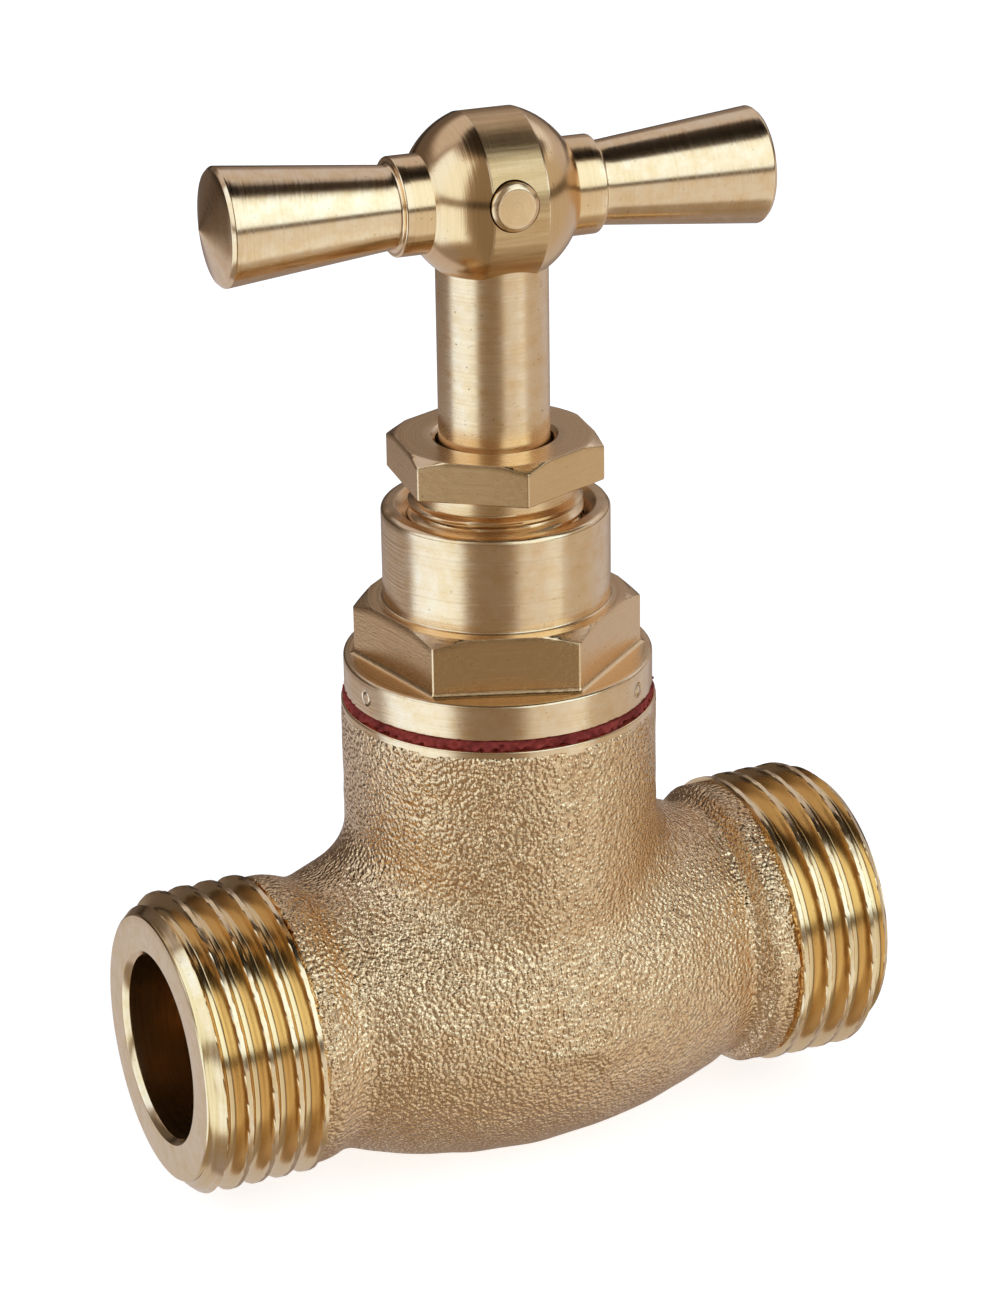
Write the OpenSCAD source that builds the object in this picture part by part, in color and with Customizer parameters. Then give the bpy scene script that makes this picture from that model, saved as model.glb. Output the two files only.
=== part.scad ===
// Screw-down stop valve, straight pattern, male threaded ends and a T-handle.
// Millimetres. +X is the flow axis, +Z the stem axis, and the origin is where the two cross.
// It is drawn fully open. The pipe threads are plain cylinders of their outside diameter, and
// the other threads are rings of the right pitch and depth.

/* [Body] */
// Length over the two end faces
face_to_face = 52; // [46:1:70]
// Outside diameter of the pipe threads
pipe_thread_d = 20.955; // [19:0.005:24]
// Length of the pipe threads behind their chamfers
pipe_thread_l = 6.8; // [5:0.1:7]
// Bore of the two ports
port_d = 12.8; // [10:0.1:14]
// Outside radius of the belly at its middle
belly_r = 12.25; // [12:0.05:15]
// Radius of the belly's long outline
belly_arc_r = 38; // [34:1:60]
// Wall of the casting round the belly
belly_wall = 2.4; // [1.8:0.1:3]
// Diameter of the collar behind each thread
collar_d = 20.4; // [18:0.1:24]
// Diameter of the vertical neck
neck_d = 21.6; // [21:0.1:25]
// Height of the neck's top face above the flow axis
neck_top = 21.4; // [20:0.1:28]
// Diameter of the hole in the seat
seat_d = 10; // [8:0.1:11]
// Height of the seat's face above the flow axis
seat_z = 2.2; // [1.5:0.1:3]

/* [Bonnet] */
// Thickness of the fibre gasket
gasket_t = 0.7; // [0.5:0.1:1.5]
// Outside diameter of the fibre gasket
gasket_d = 21.4; // [20.6:0.1:22]
// Diameter of the bonnet's round flange
flange_d = 21.1; // [20.4:0.1:24]
// Thickness of the bonnet's round flange
flange_t = 2.5; // [1.5:0.1:4]
// Size of the bonnet's hexagon across its flats
bonnet_af = 17; // [16:0.5:19]
// Height of the bonnet's hexagon
bonnet_hex_h = 4; // [3:0.1:6]
// Direction in which the bonnet's hexagon came tight, in degrees
bonnet_hex_turn = 39; // [0:1:59]
// Diameter of the bonnet's turned barrel
barrel_d = 15.5; // [15:0.1:16]
// Height of the bonnet's turned barrel
barrel_h = 6.6; // [6:0.1:9]
// Diameter of the thread that joins bonnet and body
joint_thread_d = 18; // [17.5:0.1:19]
// Length of the thread that joins bonnet and body
joint_thread_h = 6.6; // [5:0.1:6.6]

/* [Gland] */
// Diameter of the gland thread, which is the bore of the packing box
gland_thread_d = 12; // [11.6:0.1:12.4]
// Pitch of the gland thread
gland_pitch = 1; // [0.75:0.25:1.5]
// Size of the gland nut's hexagon across its flats
gland_af = 13; // [12.5:0.5:14]
// Height of the gland nut's hexagon
gland_hex_h = 2.8; // [2:0.1:4]
// Gap between the gland nut's hexagon and the barrel's rim, before it is tightened
gland_gap = 2; // [1.5:0.1:3]
// Direction in which the gland nut's hexagon stands, in degrees
gland_hex_turn = 22; // [0:1:59]
// Thickness of each packing ring
packing_t = 1.1; // [0.8:0.1:1.3]
// Thickness of the two brass washers above and below the packing
gland_washer_t = 0.6; // [0.4:0.1:0.8]

/* [Stem] */
// Diameter of the plain stem
stem_d = 7.5; // [6.5:0.1:9]
// Diameter of the stem's lifting thread
lift_thread_d = 10; // [9.5:0.1:10.5]
// Pitch of the lifting thread
lift_pitch = 2; // [1.5:0.1:2.5]
// Turns of the handle from open to closed
lift_turns = 3; // [2:0.5:3]
// Length of the lifting thread on the stem
lift_thread_h = 8; // [6:0.5:8]
// Thickness of the seat washer
seat_washer_t = 2; // [1.5:0.1:2.5]
// Diameter of the seat washer
seat_washer_d = 13.1; // [12.8:0.1:13.6]

/* [Handle] */
// Height of the handle's axis above the flow axis
handle_z = 56.4; // [54:0.1:64]
// Length of the T-bar over its two tips
handle_length = 40; // [34:1:60]
// Diameter of the arms at their outer ends
arm_end_d = 7.9; // [7:0.1:10]
// Diameter of the arms beside their collars
arm_root_d = 5.4; // [4.5:0.1:6.4]
// Diameter of the collars beside the hub
arm_collar_d = 6.6; // [6.5:0.1:8]
// Distance from the stem axis to the outer side of each collar
arm_collar_x = 7; // [6.5:0.1:9]
// Diameter of the ball-shaped hub
hub_d = 12; // [11.5:0.1:15]
// Diameter of the drawn bar that the T-bar is turned from
hub_band_d = 11.4; // [10.8:0.1:14]
// Diameter of the cross pin
pin_d = 3.3; // [2.5:0.1:4]
// How far the cross pin sits above the handle's axis
pin_rise = 0.7; // [0:0.1:1]
// How far along the arms the cross pin sits from the stem's axis
pin_shift = -0.5; // [-0.6:0.1:0.6]
// Direction of the handle when open, in degrees from the flow axis
handle_turn = -4; // [-45:1:45]

/* [Fits] */
// Clearance on the radius of threads and of turning fits
run_gap = 0.05; // [0.03:0.01:0.08]
// Clearance on the radius where a piece only passes through
pass_gap = 0.25; // [0.15:0.05:0.4]
// Gap between pieces that don't touch
free_gap = 0.3; // [0.2:0.05:0.5]

/* [Hidden] */
$fn = 96;
eps = 0.1;

// body
half_l = face_to_face / 2;
pipe_r = pipe_thread_d / 2;
port_r = port_d / 2;
face_chamfer = 1.0;
bore_chamfer = 0.4;
face_r = pipe_r - 1.3;
thread_end_x = half_l - face_chamfer - pipe_thread_l;
collar_w = 1.4;
collar_slope = 1.2;
waist_x = thread_end_x - collar_w - collar_slope;
port_depth = half_l - waist_x + 0.6;
plate_low = -1.3;
plate_top = seat_z - 1;
weir_t = 2;
chamber_r = joint_thread_d / 2 - 0.6;
weir_in = chamber_r + 0.2;

// bonnet, from the gasket upwards
gasket_top = neck_top + gasket_t;
flange_top = gasket_top + flange_t;
hex_top = flange_top + bonnet_hex_h;
rim_z = hex_top + barrel_h;
bonnet_low = gasket_top - joint_thread_h;
joint_pitch = 1;
hex_drop = 0.58;
rim_chamfer = 0.9;

// gland stack, from the floor of the packing box upwards
box_r = gland_thread_d / 2;
box_floor = hex_top - 0.6;
back_seat_z = box_floor - 1.5;
packing_z = box_floor + gland_washer_t;
packing_top = packing_z + 3 * packing_t;
nut_low = packing_top + gland_washer_t;
nut_hex_low = rim_z + gland_gap;
nut_top = nut_hex_low + gland_hex_h;
nut_neck_r = box_r - 0.5;
nut_neck_h = 1.2;

// stem and disc, in the open position
stem_r = stem_d / 2;
lift_r = lift_thread_d / 2;
lift = lift_turns * lift_pitch;
closed_gap = 0.05;
washer_low = seat_z + closed_gap + lift;
washer_top = washer_low + seat_washer_t;
washer_lip = 1;
holder_r = seat_washer_d / 2 + 0.65;
holder_floor = washer_top + 1.6;
holder_top = bonnet_low - 0.5;
holder_neck_r = 5.2;
socket_r = 3.5;
spigot_r = socket_r - 2 * run_gap;
clip_z = holder_floor + 1.1;
clip_t = 0.8;
clip_r = socket_r + 0.4;
stud_r = 1.5;
washer_nut_af = 5.5;
washer_nut_h = 1.8;
thread_top_z = back_seat_z - 0.2;
thread_low_z = thread_top_z - lift_thread_h;
shank_r = 4.3;
stem_top = handle_z + 2.6;

// handle
hub_r = hub_d / 2;
tip_h = 1.0;
tip_chamfer = 0.4;
arm_rim_x = handle_length / 2 - tip_h - tip_chamfer;
pin_proud = 0.4;
pin_length = hub_band_d + 2 * pin_proud;
pin_bevel = 0.35;

// Outline of a ring thread, up the axis: crest, flank, root, flank, for each turn.
function ridge_points(r, depth, pitch, z, turns) = [
    for (i = [0 : turns - 1])
        let (z0 = z + i * pitch, crest = pitch / 6, flank = pitch / 3)
            each [
                [r, z0],
                [r, z0 + crest],
                [r - depth, z0 + crest + flank],
                [r - depth, z0 + 2 * crest + flank]
            ]
];

// A turned piece about +Z from its outline of [radius, height] points.
module turned(points) {
    rotate_extrude()
        polygon(points);
}

// Turns a piece made along +Z to lie along +X.
module along_x() {
    rotate([0, 90, 0])
        children();
}

module at_both_ends() {
    children();
    mirror([1, 0, 0])
        children();
}

module disc(r, z0, z1) {
    translate([0, 0, z0])
        cylinder(r = r, h = z1 - z0);
}

module ring(r_in, r_out, z0, z1) {
    difference() {
        disc(r_out, z0, z1);
        disc(r_in, z0 - eps, z1 + eps);
    }
}

// Hexagonal prism with a turned chamfer that takes its top corners down by drop.
module chamfered_hex(af, z0, z1, drop) {
    corner_r = af / sqrt(3);
    intersection() {
        translate([0, 0, z0])
            cylinder(r = corner_r, h = z1 - z0, $fn = 6);
        turned([
            [0, z0 - eps],
            [corner_r + eps, z0 - eps],
            [corner_r + eps, z1 - drop - eps * tan(30)],
            [af / 2 - 0.2, z1 + (corner_r - af / 2 + 0.2) * tan(30) - drop],
            [af / 2 - 0.2, z1 + 1],
            [0, z1 + 1]
        ]);
    }
}

// Barrel-shaped outline about the flow axis: one arc, as far as half on either side.
module belly_outline(r, arc_r, half) {
    intersection() {
        translate([r - arc_r, 0])
            circle(r = arc_r, $fn = 180);
        translate([0, -half])
            square([r + 1, 2 * half]);
    }
}

module casting_outside() {
    along_x()
        rotate_extrude()
            belly_outline(belly_r, belly_arc_r, waist_x);
    at_both_ends()
        along_x()
            turned([
                [0, waist_x - 1],
                [collar_d / 2 - 1.2, waist_x - 1],
                [collar_d / 2 - 0.9, waist_x],
                [collar_d / 2, waist_x + collar_slope],
                [collar_d / 2, thread_end_x],
                [0, thread_end_x]
            ]);
    disc(neck_d / 2, 0, neck_top);
}

module pipe_end() {
    along_x()
        turned([
            [0, thread_end_x - eps],
            [collar_d / 2 - eps, thread_end_x - eps],
            [collar_d / 2 - eps, thread_end_x],
            [pipe_r, thread_end_x],
            [pipe_r, half_l - face_chamfer],
            [face_r, half_l],
            [0, half_l]
        ]);
}

// The two flow chambers, above and below the seat, on either side of the weir.
module chambers() {
    inner_r = belly_r - belly_wall;
    weir_out = weir_in + weir_t;
    difference() {
        along_x()
            rotate_extrude()
                belly_outline(inner_r, belly_arc_r - belly_wall, half_l - port_depth);
        translate([-weir_out, -half_l, plate_low])
            cube([2 * weir_out, 2 * half_l, plate_top - plate_low]);
        translate([-weir_out, -half_l, plate_low])
            cube([weir_t, 2 * half_l, half_l]);
        translate([weir_in, -half_l, plate_top - half_l])
            cube([weir_t, 2 * half_l, half_l]);
    }
    disc(chamber_r, plate_top, bonnet_low);
    disc(joint_thread_d / 2 + run_gap, bonnet_low - 0.5, neck_top + eps);
}

module port() {
    along_x() {
        disc(port_r, half_l - port_depth - eps, half_l + eps);
        translate([0, 0, half_l - bore_chamfer])
            cylinder(r1 = port_r, r2 = port_r + bore_chamfer + eps, h = bore_chamfer + eps);
    }
}

module seat_crown() {
    turned([
        [seat_d / 2 - 1, plate_low],
        [seat_d / 2 + 1.8, plate_low],
        [seat_d / 2 + 1.8, plate_top],
        [seat_d / 2 + 1.2, seat_z],
        [seat_d / 2 - 1, seat_z]
    ]);
}

module valve_body() {
    color("#b08f5f")
        difference() {
            union() {
                difference() {
                    union() {
                        casting_outside();
                        at_both_ends()
                            pipe_end();
                    }
                    chambers();
                    at_both_ends()
                        port();
                }
                seat_crown();
            }
            disc(seat_d / 2, plate_low - eps, seat_z + eps);
        }
}

module bonnet() {
    joint_turns = floor((joint_thread_h - 1.6) / joint_pitch);
    color("#d3ae78")
        difference() {
            union() {
                turned(concat(
                    [[0, bonnet_low], [joint_thread_d / 2 - 0.6, bonnet_low]],
                    ridge_points(joint_thread_d / 2, 0.6, joint_pitch,
                                 bonnet_low + 0.6, joint_turns),
                    [[joint_thread_d / 2 - 0.6, gasket_top], [0, gasket_top]]
                ));
                turned([
                    [0, gasket_top],
                    [flange_d / 2, gasket_top],
                    [flange_d / 2, flange_top - 0.25],
                    [flange_d / 2 - 0.25, flange_top],
                    [0, flange_top]
                ]);
                rotate([0, 0, bonnet_hex_turn])
                    chamfered_hex(bonnet_af, flange_top - eps, hex_top, hex_drop);
                turned([
                    [0, flange_top],
                    [barrel_d / 2, flange_top],
                    [barrel_d / 2, rim_z - 0.4],
                    [barrel_d / 2 - 0.4, rim_z],
                    [0, rim_z]
                ]);
            }
            disc(lift_r + run_gap, bonnet_low - eps, back_seat_z);
            disc(stem_r + run_gap, back_seat_z - eps, box_floor + eps);
            disc(box_r, box_floor, rim_z + eps);
            translate([0, 0, rim_z - rim_chamfer])
                cylinder(r1 = box_r, r2 = box_r + rim_chamfer + eps, h = rim_chamfer + eps);
        }
}

module bonnet_gasket() {
    color("#8e2f2c")
        ring(joint_thread_d / 2 + pass_gap, gasket_d / 2, neck_top, gasket_top);
}

module packing_base_washer() {
    color("#c9a468")
        ring(stem_r + pass_gap, box_r - run_gap, box_floor, packing_z);
}

module packing_ring(i) {
    ring_low = packing_z + (i - 1) * packing_t;
    color("#dcd8cc")
        ring(stem_r + run_gap, box_r - run_gap, ring_low, ring_low + packing_t);
}

module packing_ring_1() {
    packing_ring(1);
}

module packing_ring_2() {
    packing_ring(2);
}

module packing_ring_3() {
    packing_ring(3);
}

module gland_washer() {
    color("#c9a468")
        ring(stem_r + run_gap, box_r - run_gap, packing_top, nut_low);
}

module gland_nut() {
    nut_turns = floor((nut_hex_low - nut_neck_h - nut_low) / gland_pitch);
    color("#cda56a")
        difference() {
            union() {
                turned(concat(
                    [[0, nut_low], [nut_neck_r, nut_low]],
                    ridge_points(box_r - run_gap, 0.5, gland_pitch, nut_low + 0.3, nut_turns),
                    [[nut_neck_r, nut_hex_low + eps], [0, nut_hex_low + eps]]
                ));
                rotate([0, 0, gland_hex_turn])
                    chamfered_hex(gland_af, nut_hex_low, nut_top, 0.45);
            }
            disc(stem_r + pass_gap, nut_low - eps, nut_top + eps);
        }
}

module stem() {
    thread_turns = floor(lift_thread_h / lift_pitch);
    color("#cfab72")
        difference() {
            turned(concat(
                [[0, holder_floor + run_gap],
                 [spigot_r - 0.3, holder_floor + run_gap],
                 [spigot_r, holder_floor + run_gap + 0.3],
                 [spigot_r, clip_z - run_gap],
                 [clip_r - clip_t - 2 * run_gap, clip_z - run_gap],
                 [clip_r - clip_t - 2 * run_gap, clip_z + clip_t + run_gap],
                 [spigot_r, clip_z + clip_t + run_gap],
                 [spigot_r, holder_top + free_gap],
                 [shank_r - 0.3, holder_top + free_gap],
                 [shank_r - 0.3, thread_low_z]],
                ridge_points(lift_r, 1.0, lift_pitch, thread_low_z + 0.3, thread_turns),
                [[stem_r, thread_top_z], [stem_r, stem_top - 0.5], [stem_r - 0.5, stem_top], [0, stem_top]]
            ));
            pin_hole();
        }
}

// Places a piece in the handle's own frame: arms along X, pin along Y.
module in_handle() {
    translate([0, 0, handle_z])
        rotate([0, 0, handle_turn])
            children();
}

module pin_hole() {
    in_handle()
        translate([pin_shift, hub_d, pin_rise])
            rotate([90, 0, 0])
                cylinder(r = pin_d / 2 + run_gap, h = 2 * hub_d);
}

// Outline of both arms and their collars, as [radius, distance along the arms] points.
module arms_outline() {
    arm = [
        [arm_collar_d / 2, arm_collar_x],
        [arm_root_d / 2, arm_collar_x],
        [arm_end_d / 2, arm_rim_x],
        [arm_end_d / 2 - 0.35, arm_rim_x + tip_chamfer],
        [0, arm_rim_x + tip_chamfer + tip_h]
    ];
    other_arm = [for (i = [len(arm) - 1 : -1 : 0]) [arm[i][0], -arm[i][1]]];
    polygon(concat(arm, other_arm));
}

// The hub's outline is a ball cut off by the surface of the drawn bar.
module hub_outline() {
    intersection() {
        circle(r = hub_r);
        translate([0, -hub_r])
            square([hub_band_d / 2, 2 * hub_r]);
    }
}

module tee_bar() {
    along_x()
        rotate_extrude() {
            hub_outline();
            arms_outline();
        }
}

module tee_handle() {
    color("#d6b27c")
        difference() {
            in_handle()
                tee_bar();
            disc(stem_r + run_gap, handle_z - 2 * hub_r, stem_top + run_gap);
            pin_hole();
        }
}

module handle_pin() {
    half_pin = pin_length / 2;
    color("#d9b985")
        in_handle()
            translate([pin_shift, 0, pin_rise])
                rotate([90, 0, 0])
                    turned([
                        [0, -half_pin],
                        [pin_d / 2 - pin_bevel, -half_pin],
                        [pin_d / 2, pin_bevel - half_pin],
                        [pin_d / 2, half_pin - pin_bevel],
                        [pin_d / 2 - pin_bevel, half_pin],
                        [0, half_pin]
                    ]);
}

module disc_holder() {
    stud_low = washer_low - washer_nut_h - 0.3;
    color("#c7a064")
        difference() {
            turned([
                [0, stud_low],
                [stud_r - 0.25, stud_low],
                [stud_r, stud_low + 0.25],
                [stud_r, washer_top],
                [seat_washer_d / 2 + run_gap, washer_top],
                [seat_washer_d / 2 + run_gap, washer_top - washer_lip],
                [holder_r, washer_top - washer_lip],
                [holder_r, washer_top + 0.8],
                [holder_r - 0.8, washer_top + 1.6],
                [holder_neck_r, washer_top + 1.6],
                [holder_neck_r, holder_top],
                [0, holder_top]
            ]);
            disc(socket_r, holder_floor, holder_top + eps);
            disc(clip_r + 0.1, clip_z - run_gap, clip_z + clip_t + run_gap);
        }
}

module seat_washer() {
    color("#2b2b2b")
        ring(stud_r + run_gap, seat_washer_d / 2, washer_low, washer_top);
}

module washer_nut() {
    color("#c9a468")
        difference() {
            translate([0, 0, washer_low - washer_nut_h])
                cylinder(r = washer_nut_af / sqrt(3), h = washer_nut_h, $fn = 6);
            disc(stud_r + run_gap, washer_low - washer_nut_h - eps, washer_low + eps);
        }
}

module disc_clip() {
    slot_w = 1.6;
    color("#9a9a98")
        difference() {
            ring(clip_r - clip_t, clip_r, clip_z, clip_z + clip_t);
            translate([0, -slot_w / 2, clip_z - eps])
                cube([clip_r + eps, slot_w, clip_t + 2 * eps]);
        }
}

valve_body();
bonnet();
bonnet_gasket();
packing_base_washer();
packing_ring_1();
packing_ring_2();
packing_ring_3();
gland_washer();
gland_nut();
stem();
tee_handle();
handle_pin();
disc_holder();
seat_washer();
washer_nut();
disc_clip();
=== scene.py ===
import math

import bpy
import numpy as np
from mathutils import Matrix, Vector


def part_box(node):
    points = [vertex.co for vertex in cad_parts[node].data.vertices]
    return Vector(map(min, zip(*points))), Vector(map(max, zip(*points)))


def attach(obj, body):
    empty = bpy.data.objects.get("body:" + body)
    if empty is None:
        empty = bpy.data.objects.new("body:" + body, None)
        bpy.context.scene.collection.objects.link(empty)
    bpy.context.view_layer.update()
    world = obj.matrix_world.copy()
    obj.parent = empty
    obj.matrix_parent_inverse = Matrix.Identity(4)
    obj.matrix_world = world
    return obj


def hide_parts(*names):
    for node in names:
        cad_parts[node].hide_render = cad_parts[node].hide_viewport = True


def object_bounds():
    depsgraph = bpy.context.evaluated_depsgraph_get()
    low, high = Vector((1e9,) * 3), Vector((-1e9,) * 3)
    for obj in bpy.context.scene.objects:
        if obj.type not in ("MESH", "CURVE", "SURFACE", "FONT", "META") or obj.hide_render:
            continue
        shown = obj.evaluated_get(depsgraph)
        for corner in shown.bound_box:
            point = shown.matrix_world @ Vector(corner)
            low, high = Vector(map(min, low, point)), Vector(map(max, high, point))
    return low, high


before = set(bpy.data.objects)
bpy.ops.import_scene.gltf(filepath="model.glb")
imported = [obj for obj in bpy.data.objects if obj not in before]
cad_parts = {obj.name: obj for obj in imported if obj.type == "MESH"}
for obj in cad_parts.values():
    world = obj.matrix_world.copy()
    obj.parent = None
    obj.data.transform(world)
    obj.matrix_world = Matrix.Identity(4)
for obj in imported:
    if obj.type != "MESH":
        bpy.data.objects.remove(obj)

# Looks of a screw-down stop valve in brass. Sizes in the dictionaries are millimetres and degrees,
# apart from a bump's depth, which is metres, and a texture's scale, which is per metre. X is the
# flow axis, Z the stem axis, and the origin is where they cross.
mm = 0.001
cadBounds = [list(corner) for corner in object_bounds()]
print("frame loaded:", len(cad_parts), "nodes")


# camera

cameraView = dict(azimuth=-24.998, elevation=22.051, roll=-0.865,
                  offset=(0.181, -22.814, -280.821), lens=143.23, sensor=36.0)


def makeCamera(view):
    # Rows of the turn are the camera's right, up and back; its place is minus the turned-back offset.
    azimuth, elevation, roll = (math.radians(view[k]) for k in ("azimuth", "elevation", "roll"))
    back = np.array([math.sin(azimuth) * math.cos(elevation),
                     -math.cos(azimuth) * math.cos(elevation), math.sin(elevation)])
    right = np.cross([0.0, 0.0, 1.0], back)
    right /= np.linalg.norm(right)
    up = np.cross(back, right)
    turn = np.array([right * math.cos(roll) + up * math.sin(roll),
                     up * math.cos(roll) - right * math.sin(roll), back])
    placed = np.eye(4)
    placed[:3, :3] = turn.T
    placed[:3, 3] = -turn.T @ np.array(view["offset"]) * mm
    data = bpy.data.cameras.new("camera")
    data.sensor_fit = "HORIZONTAL"
    data.sensor_width = view["sensor"]
    data.lens = view["lens"]
    data.clip_start, data.clip_end = 0.01, 20.0
    seen = bpy.data.objects.new("camera", data)
    bpy.context.scene.collection.objects.link(seen)
    seen.matrix_world = Matrix(placed.tolist())
    bpy.context.scene.camera = seen


makeCamera(cameraView)
print("camera ready")


# surfaces

def smoothStep(low, high, value):
    # 0 below low, 1 above high, and 3t^2 - 2t^3 between.
    t = np.clip((value - low) / (high - low), 0.0, 1.0)
    return t * t * (3.0 - 2.0 * t)


def smoothMin(a, b, blend):
    # The smaller of two, rounded where they come within blend of each other.
    near = np.maximum(blend - np.abs(a - b), 0.0) / blend
    return np.minimum(a, b) - near * near * blend / 4.0


def smoothMax(a, b, blend):
    return -smoothMin(-a, -b, blend)


def waveNoise(points, size, seed, count=24):
    # Sum of sine waves in random directions, wavelengths within a third of size, about -1 to 1.
    draw = np.random.default_rng(seed)
    way = draw.normal(size=(count, 3))
    way /= np.linalg.norm(way, axis=1, keepdims=True)
    way *= 2.0 * np.pi / (size * draw.uniform(0.75, 1.35, (count, 1)))
    phase = draw.uniform(0.0, 2.0 * np.pi, count)
    return np.sin(points @ way.T + phase).sum(axis=-1) / math.sqrt(count / 2.0) / 2.0


def roundedOutline(corners, stepAngle=15.0):
    # Turns [radius, height, fillet] corners into points, each fillet an arc tangent to both sides.
    # A third column marks the arcs, which are the worn edges.
    sharp = np.array([c[:2] for c in corners], float)
    points = []
    for i, (r, z, fillet) in enumerate(corners):
        here = sharp[i]
        if fillet <= 0 or i in (0, len(corners) - 1):
            points.append([r, z, 0.0])
            continue
        a, b = sharp[i - 1] - here, sharp[i + 1] - here
        la, lb = np.linalg.norm(a), np.linalg.norm(b)
        a, b = a / la, b / lb
        half = math.acos(np.clip(a @ b, -1, 1)) / 2.0
        reach = min(fillet / math.tan(half), 0.49 * la, 0.49 * lb)
        radius = reach * math.tan(half)
        middle = here + (a + b) / np.linalg.norm(a + b) * radius / math.sin(half)
        start, end = here + a * reach - middle, here + b * reach - middle
        sweep = math.pi - 2.0 * half
        side = np.sign(start[0] * end[1] - start[1] * end[0])
        for t in np.linspace(0.0, side * sweep, max(3, int(math.degrees(sweep) / stepAngle) + 1)):
            turned = [start[0] * math.cos(t) - start[1] * math.sin(t),
                      start[0] * math.sin(t) + start[1] * math.cos(t)]
            points.append([middle[0] + turned[0], middle[1] + turned[1], 1.0])
    return np.array(points)


def finePoints(outline, step):
    # Adds points along the outline's straight stretches, none further apart than step.
    out = []
    for a, b in zip(outline[:-1], outline[1:]):
        count = max(1, int(np.linalg.norm((b - a)[:2]) / step))
        for t in np.arange(count) / count:
            out.append([*(a + (b - a) * t)[:2], min(a[2], b[2]) if 0 < t else a[2]])
    out.append(list(outline[-1]))
    return np.array(out)


def placeMesh(name, points, faces, material, sharpAngle=32.0, **marks):
    # Puts points in millimetres and faces into a mesh that is smooth up to sharpAngle.
    mesh = bpy.data.meshes.new(name)
    mesh.from_pydata(points * mm, [], faces)
    mesh.polygons.foreach_set("use_smooth", np.ones(len(mesh.polygons), bool))
    mesh.set_sharp_from_angle(angle=math.radians(sharpAngle))
    for mark, values in marks.items():
        layer = mesh.attributes.new(mark, "FLOAT", "POINT")
        layer.data.foreach_set("value", np.asarray(values, np.float32).ravel())
    mesh.materials.append(material)
    mesh.validate()
    piece = bpy.data.objects.new(name, mesh)
    bpy.context.scene.collection.objects.link(piece)
    print("made", name, len(mesh.polygons), "faces")
    return piece


def gridFaces(rows, columns, closeRows):
    # Four-sided faces of a grid whose columns run round; closeRows also joins the last row to the first.
    i = np.arange(rows if closeRows else rows - 1)[:, None]
    j = np.arange(columns)[None, :]
    nextRow, nextColumn = (i + 1) % rows, (j + 1) % columns
    corners = [i * columns + j, i * columns + nextColumn,
               nextRow * columns + nextColumn, nextRow * columns + j]
    return np.stack([np.broadcast_to(c, (len(i), columns)).ravel() for c in corners], axis=1)


def outwards(points, faces):
    # Turns every face round if the volume that the closed surface holds comes out negative.
    a, b, c, d = (points[faces[:, k]] for k in range(4))
    volume = (np.einsum("ij,ij->i", a, np.cross(b, c)) + np.einsum("ij,ij->i", a, np.cross(c, d))).sum()
    return faces if volume > 0 else faces[:, ::-1]


def ringPiece(name, points, edge, material, **more):
    # A closed ring: points is rows by columns by 3, joined round both ways.
    rows, columns = points.shape[:2]
    flat = points.reshape(-1, 3)
    faces = outwards(flat, gridFaces(rows, columns, True))
    return placeMesh(name, flat, faces.tolist(), material, edge=edge, **more)


def solidPiece(name, points, edge, material, **more):
    # A solid whose first and last rows shrink to a pole each, closed there by three-sided faces.
    rows, columns = points.shape[:2]
    flat = np.concatenate([points[:1].mean(axis=1), points[1:-1].reshape(-1, 3), points[-1:].mean(axis=1)])
    j = np.arange(columns)
    nextJ = (j + 1) % columns
    last = len(flat) - 1
    low = last - columns
    body = gridFaces(rows - 2, columns, False) + 1
    checked = outwards(flat, body)
    firstCap = np.stack([np.zeros_like(j), nextJ + 1, j + 1], axis=1)
    lastCap = np.stack([np.full_like(j, last), low + j, low + nextJ], axis=1)
    if not np.array_equal(checked, body):
        firstCap, lastCap = firstCap[:, ::-1], lastCap[:, ::-1]
    marks = np.concatenate([edge[:1].mean(axis=1), edge[1:-1].ravel(), edge[-1:].mean(axis=1)])
    faces = checked.tolist() + firstCap.tolist() + lastCap.tolist()
    return placeMesh(name, flat, faces, material, edge=marks, **more)


def turnedGrid(outline, columns):
    # Outline of [radius, height, edge] carried round Z: x = r cos a, y = r sin a.
    angle = np.linspace(0.0, 2.0 * np.pi, columns, endpoint=False)
    r, z = outline[:, 0:1], outline[:, 1:2]
    points = np.stack([r * np.cos(angle), r * np.sin(angle), z + 0.0 * angle], axis=2)
    return points, np.repeat(outline[:, 2:3], columns, axis=1)


def ridge(turns, crest, root):
    # Height of a rounded thread form, 0 in the root and 1 on the flat crest, over turns of one pitch.
    wave = 0.5 + 0.5 * np.cos(2.0 * np.pi * turns)
    return np.clip(wave ** root / (1.0 - crest), 0.0, 1.0)


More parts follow.
